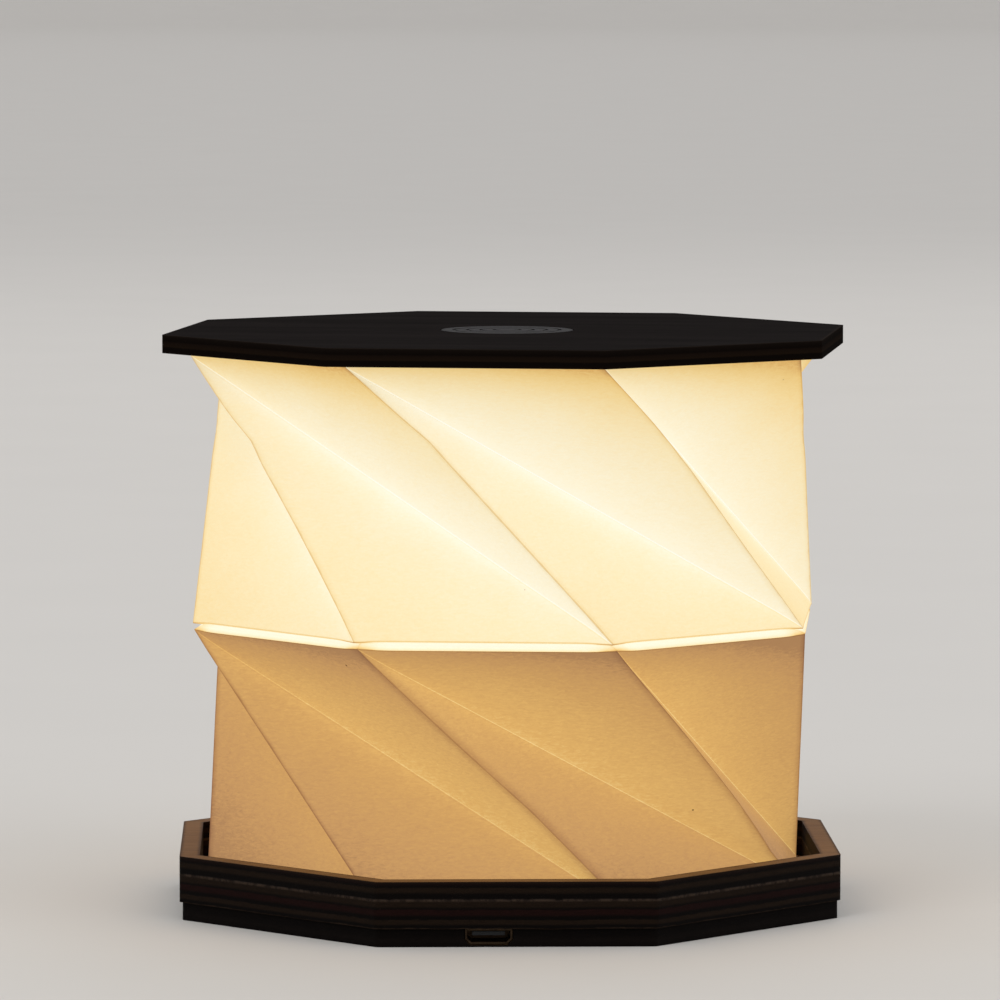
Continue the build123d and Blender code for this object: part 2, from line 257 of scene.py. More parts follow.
def lit_paper():
    """Translucent fibre paper with the lamp on behind it. Its glow is painted light, in its
    emission and base colour. The mesh says how much light reaches each point, and how far it is
    from the nearest valley, ridge and lip."""
    paper = Finish("lit_paper", Roughness=0.9, Specular_IOR_Level=0.15, Emission_Strength=1.0)
    place = paper.place()
    fibres = paper.noise(paper.stretched(place, (1.0, 1.0, 3.5)), 1.1, 6.0, 0.68, 0.6)
    clouds = paper.noise(place, 9.0, 2.0)
    grain = paper.noise(place, 0.35, 2.0)
    valley = paper.measured("valley")
    ridge = paper.measured("ridge")
    lip = paper.measured("lip")
    worn = paper.measured("worn")
    below = paper.measured("below")

    # Brightly lit paper looks thin, with fainter fibres and paler creases.
    light = paper.measured("light")
    thin = paper.rise(light, 0.42, 0.48)
    depth = 0.34 - thin * 0.2
    light = light + (fibres - 0.5) * depth + (clouds - 0.5) * 0.05 + (grain - 0.5) * 0.04
    # Painted light: brighter along each valley, a little darker just below it.
    valley_line = 1 - paper.rise(valley, 0.05, 0.2)
    under_valley = (1 - paper.rise(valley, 0.2, 0.45)) * below
    light = light + valley_line * 0.13 - under_valley * 0.05
    light = light + (1 - paper.rise(valley, 0.0, 2.4)) * 0.02
    lit = paper.ramp(light, [
        (0.00, srgb(176, 133, 90)),
        (0.10, srgb(196, 150, 97)),
        (0.25, srgb(211, 165, 101)),
        (0.40, srgb(229, 184, 110)),
        (0.50, srgb(241, 206, 134)),
        (0.60, srgb(247, 219, 157)),
        (0.72, srgb(251, 233, 188)),
        (0.86, srgb(254, 246, 220)),
        (1.00, srgb(255, 252, 240)),
    ])

    # A ridge has a narrow cracked core, and a soft band of painted shade either side of it.
    wobble = ridge + (paper.noise(place, 2.5, 3.0) - 0.5) * 0.4
    core = (1 - paper.rise(wobble, 0.06, 0.32)) * (0.3 + fibres * 0.9)
    ridge_shade = 1 - paper.rise(wobble, 0.0, worn)
    ridge_shade_tone = paper.mix(thin, (0.74, 0.68, 0.72, 1.0), (0.95, 0.89, 0.77, 1.0))
    core_tone = paper.mix(thin, (0.70, 0.62, 0.62, 1.0), (0.82, 0.69, 0.50, 1.0))
    lit = paper.tinted(lit, ridge_shade_tone, ridge_shade * 0.75)
    lit = paper.tinted(lit, core_tone, core)

    # Painted shade: a dark line along each lip of the fold.
    lip_tone = paper.mix(thin, (0.70, 0.55, 0.40, 1.0), (0.90, 0.78, 0.58, 1.0))
    lit = paper.tinted(lit, lip_tone, (1 - paper.rise(lip, 0.05, 0.2)) * 0.85)
    cell = paper.node("ShaderNodeTexVoronoi", None, {"Vector": place, "Scale": 1 / (11 * mm)})
    speck = 1 - paper.rise(cell, 0.012, 0.022)
    lit = paper.mix(speck * (0.8 - thin * 0.45), lit, srgb(70, 42, 22))
    paper.set("Emission Color", paper.tinted(lit, grey(0.71)))
    paper.set("Base Color", paper.tinted(lit, grey(0.36)))
    paper.bump(fibres + grain * 0.4, 0.06, 0.7)
    return paper.material


def veneers(wood, height):
    """Burnt colours of the glued sheets, up the side of the tray."""
    char = srgb(7, 4, 3)
    brown = srgb(27, 18, 11)
    red = srgb(25, 9, 7)
    stops = [
        (0.0, char), (1.0, srgb(14, 9, 7)), (1.9, char), (2.8, char), (3.0, srgb(40, 30, 22)),
        (3.15, char), (3.5, char), (3.8, brown), (4.3, brown), (4.5, char), (4.9, char),
        (5.3, red), (5.9, red), (6.2, char), (6.6, brown), (7.2, brown),
        (7.55, srgb(36, 28, 23)), (7.8, char), (8.5, char), (8.9, brown), (9.4, brown),
        (9.7, char), (10.1, srgb(18, 8, 6)), (10.5, srgb(30, 20, 14)),
    ]
    return wood.ramp(height / tray_height, [(z / tray_height, colour) for z, colour in stops])


def tray_ply(name, face_light, face_dark, scorch_reach):
    """Laser-cut plywood: bare wood on its faces, scorched near the cuts, with the
    edges burnt almost black. Glue has squeezed out of the joint under the rim."""
    wood = Finish(name, Specular_IOR_Level=0.05)
    place = wood.place()
    height = wood.axis(place, 2) * (1 / mm)
    drift = (wood.noise(place, 14.0, 2.0) - 0.5) * 0.5
    fine = wood.noise(wood.stretched(place, (1.0, 1.0, 5.0)), 1.6, 5.0, 0.7)
    edge = veneers(wood, height + drift * 0.8 + (fine - 0.5) * 0.5)
    edge = wood.tinted(edge, (0.45, 0.42, 0.42, 1.0), wood.rise(fine, 0.35, 0.75) * 0.6)
    beads = wood.noise(wood.stretched(place, (1.0, 1.0, 0.4)), 1.3, 4.0, 0.65)
    squeeze = 1 - wood.rise(abs(height - glue_line), 0.05, 0.36)
    glue = squeeze * wood.rise(beads, 0.38, 0.62)
    edge = wood.mix(glue * 0.7, edge, srgb(58, 46, 37))

    grain = wood.noise(wood.stretched(place, (0.09, 1.0, 0.3)), 0.9, 5.0, 0.62, 0.4)
    bands = wood.noise(wood.stretched(place, (0.12, 1.0, 0.3)), 6.0, 2.0)
    face = wood.mix(wood.rise(grain * 0.7 + bands * 0.3, 0.36, 0.62), face_dark, face_light)
    pores = wood.noise(wood.stretched(place, (0.05, 1.0, 0.3)), 0.28, 2.0)
    face = wood.tinted(face, (0.7, 0.65, 0.6, 1.0), wood.rise(pores, 0.58, 0.75) * 0.25)
    reach = wood.octagon() + (wood.noise(place, 1.2, 3.0) - 0.5) * 0.5
    outside = wood.rise(reach, tray_flat - scorch_reach, tray_flat)
    inside = 1 - wood.rise(reach, rim_inner_flat, rim_inner_flat + scorch_reach)
    face = wood.mix(outside * 0.75, face, srgb(52, 34, 22))
    face = wood.mix(inside * 0.75, face, srgb(48, 30, 18))

    level = wood.facing_up()
    wood.set("Base Color", wood.mix(level, edge, face))
    wood.set("Roughness", 0.72 - glue * 0.15 - level * 0.05)
    wood.bump(fine * 0.5 + grain * 0.25 + glue * 1.2, 0.16, 0.7)
    return wood.material


def stained_ply():
    """Near-black stained plywood, satin, with the grain just showing through."""
    wood = Finish("stained_ply", Specular_IOR_Level=0.0, Coat_Weight=0.02, Coat_Roughness=0.4)
    place = wood.turned(plate_turn)
    height = wood.axis(place, 2) * (1 / mm) - plate_bottom
    grain = wood.noise(wood.stretched(place, (0.07, 1.0, 0.3)), 0.8, 5.0, 0.65, 0.3)
    bands = wood.noise(wood.stretched(place, (0.1, 1.0, 0.3)), 7.0, 2.0)
    stain = wood.rise(grain * 0.6 + bands * 0.4, 0.35, 0.65)
    face = wood.mix(stain, srgb(18, 15, 14), srgb(27, 23, 22))
    # A paler band along the plate's edge.
    worn = wood.rise(wood.octagon(plate_turn), plate_flat - 0.7, plate_flat)
    face = wood.mix(worn * 0.5, face, srgb(40, 33, 28))
    fine = wood.noise(wood.stretched(place, (1.0, 1.0, 5.0)), 1.3, 5.0, 0.7)
    char = srgb(11, 7, 5)
    line = srgb(24, 16, 10)
    edge = wood.ramp((height + (fine - 0.5) * 0.3) / plate_thick, [
        (0.0, line), (0.07, char), (0.32, char), (0.38, line), (0.6, srgb(20, 13, 9)),
        (0.68, char), (0.93, srgb(17, 12, 9)), (1.0, srgb(30, 24, 20)),
    ])
    level = wood.facing_up()
    wood.set("Base Color", wood.mix(level, edge, face))
    wood.set("Roughness", 0.58 + grain * 0.2)
    wood.bump(grain * 0.6 + fine * 0.3, 0.06, 0.6)
    return wood.material


def spun_steel():
    """Turned steel with fine rings all round the middle. Its dark colour is a painted reflection
    of dark surroundings.
    """
    steel = Finish("spun_steel", Metallic=1.0, Specular_Tint=(0.3, 0.3, 0.31, 1.0))
    ring = steel.node("ShaderNodeCombineXYZ", None, {0: steel.from_middle() * mm})
    turning = steel.noise(ring, 0.16, 4.0, 0.7)
    wide = steel.noise(ring, 1.1, 2.0)
    tone = steel.rise(turning * 0.6 + wide * 0.4, 0.3, 0.7)
    steel.set("Base Color", steel.mix(tone, srgb(50, 49, 48), srgb(74, 72, 70)))
    steel.set("Roughness", 0.3 + turning * 0.18)
    steel.bump(turning, 0.02, 0.8)
    return steel.material


def drawn_metal(name, light, dark, roughness, size):
    """Plated or drawn metal with fine lines along its length and a few rubbed spots."""
    metal = Finish(name, Metallic=1.0)
    place = metal.place()
    lines = metal.noise(metal.stretched(place, (1.0, 0.08, 1.0)), size, 4.0, 0.6)
    rubbed = metal.noise(place, size * 6, 3.0)
    tone = metal.rise(lines * 0.6 + rubbed * 0.4, 0.3, 0.7)
    metal.set("Base Color", metal.mix(tone, dark, light))
    metal.set("Roughness", roughness + (rubbed - 0.5) * 0.2)
    metal.bump(lines, 0.015, 0.5)
    return metal.material


def chip_plastic():
    """Moulded dark plastic with a fine texture and slight flow marks."""
    plastic = Finish("chip_plastic", Specular_IOR_Level=0.4)
    place = plastic.place()
    texture = plastic.noise(place, 0.12, 4.0, 0.6)
    flow = plastic.noise(plastic.stretched(place, (0.4, 1.0, 1.0)), 1.68, 2.0)
    shade = plastic.rise(texture * 0.5 + flow * 0.5, 0.3, 0.7)
    plastic.set("Base Color", plastic.mix(shade, srgb(24, 24, 26), srgb(44, 44, 46)))
    plastic.set("Roughness", 0.5 + (texture - 0.5) * 0.16)
    plastic.bump(texture, 0.02, 0.5)
    return plastic.material


def port_tongue_plastic():
    """Black tongue with gilt contacts on its underside."""
    plastic = Finish("port_tongue", Specular_IOR_Level=0.4)
    place = plastic.place()
    texture = plastic.noise(place, 0.15, 3.0)
    height = plastic.axis(place, 2) * (1 / mm)
    gilt = 1 - plastic.rise(height, gilt_top, gilt_top + 0.04)
    black = plastic.mix(texture, srgb(5, 8, 12), srgb(12, 18, 26))
    brass = plastic.mix(texture, srgb(176, 134, 62), srgb(214, 174, 96))
    plastic.set("Base Color", plastic.mix(gilt, black, brass))
    plastic.set("Metallic", gilt)
    plastic.set("Roughness", 0.5 - gilt * 0.2)
    plastic.bump(texture, 0.01, 0.5)
    return plastic.material


def battery_foil():
    """Crinkled aluminium pouch with amber tape at the wire end."""
    foil = Finish("battery_foil")
    place = foil.place()
    crinkle = foil.noise(place, 3.0, 5.0, 0.6, 0.8)
    fine = foil.noise(place, 0.5, 3.0)
    near = foil.axis(place, 1) * (1 / mm)
    tape = 1 - foil.rise(near, tape_edge, tape_edge + 0.2)
    silver = foil.mix(crinkle, srgb(150, 152, 156), srgb(196, 198, 202))
    amber = foil.mix(fine, srgb(176, 112, 30), srgb(206, 142, 50))
    foil.set("Base Color", foil.mix(tape, silver, amber))
    foil.set("Metallic", 0.9 - tape * 0.9)
    foil.set("Roughness", 0.32 + fine * 0.2)
    foil.bump(crinkle, 0.25, 0.6)
    return foil.material


def wire_cover(name):
    """Silicone covering, red on one wire and black on the other."""
    wire = Finish(name, Specular_IOR_Level=0.35)
    place = wire.place()
    side = wire.rise(wire.axis(place, 0) * (1 / mm), wire_parting, wire_parting + 0.2)
    dust = wire.noise(place, 0.6, 4.0, 0.6)
    red = wire.mix(dust, srgb(140, 20, 16), srgb(172, 38, 28))
    black = wire.mix(dust, srgb(20, 20, 22), srgb(42, 42, 44))
    wire.set("Base Color", wire.mix(side, red, black))
    wire.set("Roughness", 0.45 + dust * 0.2)
    wire.bump(dust, 0.02, 0.4)
    return wire.material


def circuit_board():
    """Green solder mask over copper tracks, with the bare glass cloth at the edges."""
    board = Finish("circuit_board", Specular_IOR_Level=0.5)
    place = board.place()
    flat = board.stretched(place, (1.0, 1.0, 0.0))
    settings = {"distance": "CHEBYCHEV", "feature": "F1"}
    cell = board.node("ShaderNodeTexVoronoi", settings, {"Vector": flat, "Scale": 520.0})
    track = board.rise(cell, 0.28, 0.32)
    weave = board.noise(place, 0.2, 2.0)
    mask = board.mix(track, srgb(22, 96, 52), srgb(12, 66, 36))
    level = board.facing_up()
    cloth = board.mix(weave, srgb(150, 146, 96), srgb(186, 180, 128))
    board.set("Base Color", board.mix(level, cloth, mask))
    board.set("Roughness", 0.34 + weave * 0.15)
    board.bump(1 - track, 0.03, 0.6)
    return board.material


def light_board():
    """White solder mask, with the ring track just standing out under it."""
    board = Finish("light_board", Specular_IOR_Level=0.45)
    off_ring = abs(board.from_middle() - lamp_ring)
    ring = board.rise(off_ring, track_reach, track_reach + 0.15)
    mottle = board.noise(board.place(), 0.8, 3.0)
    white = board.mix(mottle, srgb(224, 223, 217), srgb(238, 238, 233))
    mask = board.mix(ring * 0.3, white, srgb(206, 206, 200))
    edge = board.mix(mottle, srgb(176, 170, 150), srgb(204, 198, 178))
    board.set("Base Color", board.mix(board.facing_up(), edge, mask))
    board.set("Roughness", 0.36 + mottle * 0.15)
    board.bump(1 - ring, 0.03, 0.6)
    return board.material


def lamp_phosphor():
    """Small glowing lamps: yellow phosphor on top of a white case."""
    lamp = Finish("lamp_phosphor", Roughness=0.35, Emission_Strength=1.0)
    level = lamp.facing_up()
    speckle = lamp.noise(lamp.place(), 0.25, 3.0)
    phosphor = lamp.mix(speckle, srgb(236, 190, 70), srgb(250, 214, 110))
    case = lamp.mix(speckle, srgb(222, 220, 212), srgb(238, 237, 231))
    case_glow = scaled(srgb(255, 244, 214), 0.2)
    lamp.set("Base Color", lamp.mix(level, case, phosphor))
    lamp.set("Emission Color", lamp.mix(level, case_glow, srgb(255, 236, 190)))
    lamp.bump(speckle, 0.02, 0.5)
    return lamp.material


def opal_plastic():
    """Opal cover of the light, glowing over the ring of lamps."""
    opal = Finish("opal_plastic", Roughness=0.4, Specular_IOR_Level=0.4, Emission_Strength=1.0)
    place = opal.place()
    ring = 1 - opal.rise(abs(opal.from_middle() - lamp_ring), 1.0, 9.0)
    haze = opal.noise(place, 2.0, 3.0)
    glow = opal.mix(ring * 0.8 + haze * 0.1, srgb(216, 190, 140), srgb(255, 244, 216))
    opal.set("Emission Color", opal.tinted(glow, grey(0.7)))
    opal.set("Base Color", opal.mix(haze, srgb(150, 146, 134), srgb(170, 166, 154)))
    opal.bump(opal.noise(place, 0.4, 2.0), 0.01, 0.4)
    return opal.material


def coat(finish, *nodes):
    """Gives CAD nodes a finish, in the slots they have."""
    for name in nodes:
        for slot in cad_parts[name].material_slots:
            slot.material = finish


burnt_ply = tray_ply("burnt_ply", srgb(112, 82, 53), srgb(94, 67, 43), 0.9)
# The rim's bare ply, painted a little paler than the rest for the shade's glow that falls on it.
pale_ply = tray_ply("pale_ply", srgb(120, 88, 54), srgb(104, 75, 45), 0.7)
# The port's steel is painted dark brown, a painted reflection of its warm dark surroundings.
port_steel = drawn_metal("port_steel", srgb(66, 53, 40), srgb(38, 30, 23), 0.42, 0.12)
screw_steel = drawn_metal("screw_steel", srgb(186, 186, 190), srgb(140, 140, 145), 0.3, 0.2)
catch_steel = drawn_metal("catch_steel", srgb(190, 190, 192), srgb(150, 150, 154), 0.28, 0.3)
magnet_plating = drawn_metal("magnet_plating", srgb(206, 206, 210), srgb(172, 172, 178), 0.16, 0.5)

coat(burnt_ply, "foot_plate", "deck_plate", "spacer_ring")
coat(pale_ply, "rim_ring")
coat(stained_ply(), "top_plate")
coat(spun_steel(), "spun_disc")
coat(port_steel, "usb_shell")
coat(port_tongue_plastic(), "usb_tongue")
coat(battery_foil(), "battery_cell")
coat(wire_cover("battery_wires"), "battery_leads")
coat(wire_cover("light_wires"), "led_leads")
coat(circuit_board(), "charge_board")
coat(chip_plastic(), "charge_chips", "lid_sensor")
coat(light_board(), "led_board")
coat(lamp_phosphor(), "led_chips")
coat(screw_steel, "led_board_screws")
coat(opal_plastic(), "light_diffuser")
coat(catch_steel, "catch_disc")
coat(magnet_plating, "lid_magnet")


def put(name, data):
    """A new object in the scene."""
    made = bpy.data.objects.new(name, data)
    bpy.context.scene.collection.objects.link(made)
    return made


def between_rings(ring_count, around):
    """Faces between closed rings of points, from each ring to the next."""
    faces = []
    for ring in range(ring_count - 1):
        for n in range(around):
            here = ring * around + n
            after = ring * around + (n + 1) % around
            faces.append((here, after, after + around, here + around))
    return faces


# ---------------------------------------------------------------- folded paper
# What a mesh of paper says at each corner of its faces, with the values of plain paper:
# the light that reaches it, how far it is from the nearest valley, ridge and lip, how wide
# the band of painted shade along that ridge is, and whether the facet lies below its valley.
far_off = 9.0                # where no fold or lip shows any more
plain_paper = {
    "light": 0.5, "valley": far_off, "ridge": far_off, "lip": far_off, "worn": 1.0, "below": 0.0,
}


def two_sided(faces, notes, count):
    """All the faces of a piece of paper and their values, from those of its outside.
    Point n of the outside is point n + count of the inside."""
    outside = {key: [] for key in plain_paper}
    for face, note in zip(faces, notes):
        for key, plain in plain_paper.items():
            value = note.get(key, plain)
            outside[key].append(list(value) if np.iterable(value) else [value] * len(face))
    inner = [tuple(corner + count for corner in reversed(face)) for face in faces]
    values = {key: rows + [row[::-1] for row in rows] for key, rows in outside.items()}

    # Where a face has no neighbour, a narrow face joins the outside to the inside.
    edges = {}
    for row, face in enumerate(faces):
        for k in range(len(face)):
            edges[face[k], face[(k + 1) % len(face)]] = (row, k)
    borders = []
    for (a, b), (row, k) in edges.items():
        if (b, a) in edges:
            continue
        borders.append((b, a, a + count, b + count))
        for key, rows in outside.items():
            first = rows[row][k]
            second = rows[row][(k + 1) % len(faces[row])]
            values[key].append([second, first, first, second])
    return faces + inner + borders, values


def paper_piece(name, points, faces, notes):
    """A thin closed piece of paper. Its faces are the outside; the inside lies
    paper_thick behind them. notes says of each face what isn't as on plain paper,
    with one value or with one for each corner."""
    points = np.asarray(points, float)
    normals = np.zeros_like(points)
    for face in faces:
        a, b, c = points[face[0]], points[face[1]], points[face[2]]
        normals[list(face)] += np.cross(b - a, c - a)
    normals /= np.maximum(np.linalg.norm(normals, axis=1), 1e-9)[:, None]
    both = np.concatenate([points, points - normals * paper_thick]) * mm
    all_faces, values = two_sided([tuple(face) for face in faces], notes, len(points))

    mesh = bpy.data.meshes.new(name)
    mesh.from_pydata(both.tolist(), [], all_faces)
    for key, rows in values.items():
        made = mesh.attributes.new(key, "FLOAT", "CORNER")
        made.data.foreach_set("value", np.array([v for row in rows for v in row], np.float32))
    mesh.shade_smooth()
    mesh.set_sharp_from_angle(angle=math.radians(smooth_angle))
    mesh.materials.append(shade_paper)
    piece = put(name, mesh)
    return piece


def fold_ring(radius, height, turn):
    """Corners of an octagonal fold line, counterclockwise from the front left."""
    corners = []
    for k in range(side_count):
        angle = math.radians(-90 - corner_step / 2 + turn + k * corner_step)
        corners.append((radius * math.cos(angle), radius * math.sin(angle), height))
    return np.array(corners)


lower_lip = fold_ring(shade_radius, fold_bottom, fold_turn)
upper_lip = fold_ring(shade_radius, fold_top, upper_turn)


def pinched(points):
    """Draws the two lips of the fold together at its corners."""
    points = points.copy()
    for lip, lift in ((lower_lip, 1.0), (upper_lip, -1.0)):
        same_side = (points[:, 2] <= fold_middle) == (lift > 0)
        near_level = 1 - np.clip(np.abs(points[:, 2] - lip[0][2]) / pinch_rise, 0, 1)
        apart = np.linalg.norm(points[:, None, :2] - lip[None, :, :2], axis=2).min(axis=1)
        near_corner = np.exp(-(apart / pinch_reach) ** 2)
        points[:, 2] += same_side * lift * corner_pinch * near_level * near_corner
    return points


# How each ridge has creased, from the front left corner on: how wide its band of painted
# shade is, then where along it from its upper end, how far it is pushed round and how far in.
upper_ridges = [
    (1.3, [(0.27, 1.8, 0.5)]), (1.3, [(0.30, 1.9, 0.7)]), (1.0, [(0.30, 0.3, 0.2)]),
    (1.3, [(0.31, 1.0, 0.5)]), (1.2, [(0.34, 1.2, 0.4)]), (1.4, [(0.29, 1.4, 0.5)]),
    (1.0, [(0.32, 0.3, 0.2)]), (1.2, [(0.30, 3.2, 0.5)]),
]
lower_ridges = [
    (2.6, [(0.35, 0.2, 0.1), (0.62, 0.9, 0.3)]),
    (1.6, [(0.35, 0.7, 0.0), (0.63, 0.8, 0.1), (0.85, -0.7, 0.35)]),
    (1.2, [(0.50, 0.1, 0.0)]), (2.2, [(0.70, 0.7, 0.3)]), (1.4, [(0.55, 0.4, 0.2)]),
    (2.0, [(0.60, 0.8, 0.3), (0.85, -0.3, 0.2)]), (1.2, [(0.40, 0.1, 0.0)]),
    (0.8, [(0.50, 0.05, 0.0)]),
]


def facet_grid():
    """Points over a facet, as shares of its three corners, and triangles between them."""
    spots = [(i, j) for i in range(facet_rows + 1) for j in range(facet_rows + 1 - i)]
    number = {spot: n for n, spot in enumerate(spots)}
    triangles = []
    for i, j in spots:
        if i + j < facet_rows:
            triangles.append([number[i, j], number[i + 1, j], number[i, j + 1]])
        if i + j < facet_rows - 1:
            triangles.append([number[i + 1, j], number[i + 1, j + 1], number[i, j + 1]])
    shares = np.array([(i, j, facet_rows - i - j) for i, j in spots]) / facet_rows
    return shares, triangles


def corner_heights(corners):
    """How far each corner of a triangle is from the side that faces it."""
    heights = []
    for n in range(3):
        side = corners[n - 1] - corners[n - 2]
        double_area = np.linalg.norm(np.cross(corners[n] - corners[n - 1], side))
        heights.append(double_area / np.linalg.norm(side))
    return heights


def creased(flat, shares, outward, below, knots):
    """A facet's points, pushed round and dented along its ridge, with a sag in its middle."""
    near_ridge = shares[:, 0] + shares[:, 2]
    along = shares[:, 0 if below else 2] / np.maximum(near_ridge, 1e-9)
    spots = [0.0] + [knot[0] for knot in knots] + [1.0]
    pushes = [0.0] + [knot[1] for knot in knots] + [0.0]
    push = np.interp(along, spots, pushes) * near_ridge ** 1.5
    dents = sum(knot[2] * np.exp(-((along - knot[0]) / dent_length) ** 2) for knot in knots)
    middle = 27 * shares.prod(axis=1)       # 1 in the middle of the facet, 0 at its sides
    inward = dents * near_ridge ** 6 + facet_sag * middle
    sideways = np.stack([-outward[:, 1], outward[:, 0], 0 * along], 1)
    return pinched(flat + sideways * push[:, None] - outward * inward[:, None])


# How the glow of a facet falls off, as shares of the full glow.
valley_fall = 0.42           # what a hanging facet loses over valley_width from its valley
valley_width = 19.0
eave_fall = 0.66             # what it loses along its level edge, fading over eave_fade
eave_fade = 5.0
standing_glow = 0.85         # at the upper corner of a standing facet
ridge_share = 0.45           # how much of its fall is towards the foot of its ridge
valley_fade = 6.0            # over which the light along its valley fades


def facet_glow(shares, to_valley, to_level, below, foot_fall, valley_glow):
    """How brightly a facet glows. One that hangs is brightest at its valley and dim just
    under its level edge. One that stands darkens towards its foot, most of all where its
    ridge ends, and is a little brighter in the middle of its valley."""
    if not below:
        away = valley_fall * (to_valley / valley_width) ** 1.2
        return 1 - away - eave_fall * np.exp(-to_level / eave_fade)
    down = ridge_share * shares[:, 0] + (1 - ridge_share) * (1 - shares[:, 2])
    mid_valley = 4 * shares[:, 2] * shares[:, 1]        # 1 there, 0 at the valley's ends
    at_valley = 0.9 * valley_glow * mid_valley * np.exp(-to_valley / valley_fade)
    return standing_glow - foot_fall * down + at_valley


def tier(name, upper, lower, ridges, darkest, brightest, foot_fall, side_fall, valley_glow):
    """A tier's paper wall. Each upper corner's valley runs to the lower corner two
    places further round, and its ridge to the one before that."""
    shares, triangles = facet_grid()
    stands_on_fold = lower[0][2] > fold_bottom
    vertices = {}
    points = []
    faces = []
    notes = []
    for k in range(side_count):
        after = (k + 1) % side_count
        a, b = upper[k], upper[after]
        c, d = lower[(k + 2) % side_count], lower[after]
        # Corners facing the valley, the ridge and the level edge, for the facet that
        # hangs from the upper edge and for the one that stands on the lower edge.
        for below, corners in ((0, (b, a, c)), (1, (d, c, a))):
            corners = np.array(corners)
            flat = shares @ corners
            to_valley, to_ridge, to_level = (shares * corner_heights(corners)).T
            to_lip = to_level if (below == 1) == stands_on_fold else to_level + far_off
            outward = flat * (1, 1, 0) / np.linalg.norm(flat[:, :2], axis=1)[:, None]
            worn, knots = ridges[k if below else after]
            moved = creased(flat, shares, outward, below, knots)
            glow = facet_glow(shares, to_valley, to_level, below, foot_fall, valley_glow)
            # Painted glow, dimmer towards the lantern's left and right sides.
            aside = np.abs(flat[:, 0] / shade_radius)
            light = darkest + (brightest - darkest) * glow - side_fall * aside ** 2.5

            # Facets share the points on their edges, found by where they lie unfolded.
            kept = []
            for spot, point in zip(flat, moved):
                key = tuple(np.round(spot, 3))
                if key not in vertices:
                    vertices[key] = len(points)
                    points.append(point)
                kept.append(vertices[key])
            first, second, third = moved[triangles[0]]
            normal = np.cross(second - first, third - first)
            outwards = np.dot(normal, outward[triangles[0][0]]) > 0
            for triangle in triangles:
                order = triangle if outwards else triangle[::-1]
                faces.append([kept[n] for n in order])
                notes.append({
                    "light": light[order],
                    "valley": to_valley[order],
                    "ridge": to_ridge[order],
                    "lip": to_lip[order],
                    "worn": worn,
                    "below": below,
                })
    return paper_piece(name, points, faces, notes)


def waist():
    """The V between the tiers, as one folded band: a rising flap of the lower sheet
    and a level flap of the upper one, glued face to face."""
    groove = fold_top - 2 * flap_thick
    # How far in each line of the band lies, its height, its share of the turn from the
    # lower lip to the upper one, and its light.
    profile = [
        (0.0, fold_bottom, 0.0, 0.56), (0.10, fold_bottom + 0.10, 0.02, 0.74),
        (0.9, fold_bottom + 0.52, 0.25, 0.90), (1.55, groove + 0.10, 0.5, 0.94),
        (1.7, groove + 0.17, 0.5, 0.88), (1.55, groove + 0.24, 0.5, 0.90),
        (0.8, groove + 0.36, 0.75, 0.86), (0.08, fold_top - 0.12, 0.98, 0.70),
        (0.0, fold_top - 0.04, 1.0, 0.56),
    ]
    per_side = 26
    corner_shade = 2.2       # how far the dark of a corner reaches along the band
    points = []
    for inward, height, share, light in profile:
        turn = fold_turn + share * (upper_turn - fold_turn)
        corners = fold_ring(shade_radius - inward, height, turn)
        for k in range(side_count):
            start, end = corners[k], corners[(k + 1) % side_count]
            for n in range(per_side):
                points.append(start + (end - start) * n / per_side)
    notes = []
    for row in range(len(profile) - 1):
        lights = [profile[line][3] for line in (row, row, row + 1, row + 1)]
        for n in range(side_count * per_side):
            place = n % per_side
            ends = (place, place + 1, place + 1, place)
            to_corner = [min(end, per_side - end) * fold_side / per_side for end in ends]
            dims = [math.exp(-(reach / corner_shade) ** 2) for reach in to_corner]
            tones = [tone - dim * (0.08 + 0.9 * (1 - tone)) for tone, dim in zip(lights, dims)]
            # Near each corner the band carries a ridge's cracked core and its painted shade.
            notes.append({"light": tones, "ridge": [reach * 1.5 + 0.2 for reach in to_corner]})
    faces = between_rings(len(profile), side_count * per_side)
    return paper_piece("waist_fold", pinched(np.array(points)), faces, notes)


def flaps(name, radius, turn, level, facing, light):
    """Eight flaps turned in from a tier's edge and glued flat, mitred at the corners."""
    outer = fold_ring(radius - flap_start, level, turn)
    inner = fold_ring(radius - flap_end, level, turn)
    points = []
    faces = []
    across = 12
    deep = 4
    for k in range(side_count):
        after = (k + 1) % side_count
        first = len(points)
        for row in range(deep + 1):
            depth = row / deep
            trim = 0.02 + 0.05 * depth      # cut off at each end, as a share of the side
            for n in range(across + 1):
                share = trim + (1 - 2 * trim) * n / across
                near = outer[k] + (outer[after] - outer[k]) * share
                far = inner[k] + (inner[after] - inner[k]) * share
                points.append(near + (far - near) * depth)
        for row in range(deep):
            for n in range(across):
                a = first + row * (across + 1) + n
                face = [a, a + 1, a + across + 2, a + across + 1]
                faces.append(face if facing > 0 else face[::-1])
    return paper_piece(name, points, faces, [{"light": light}] * len(faces))


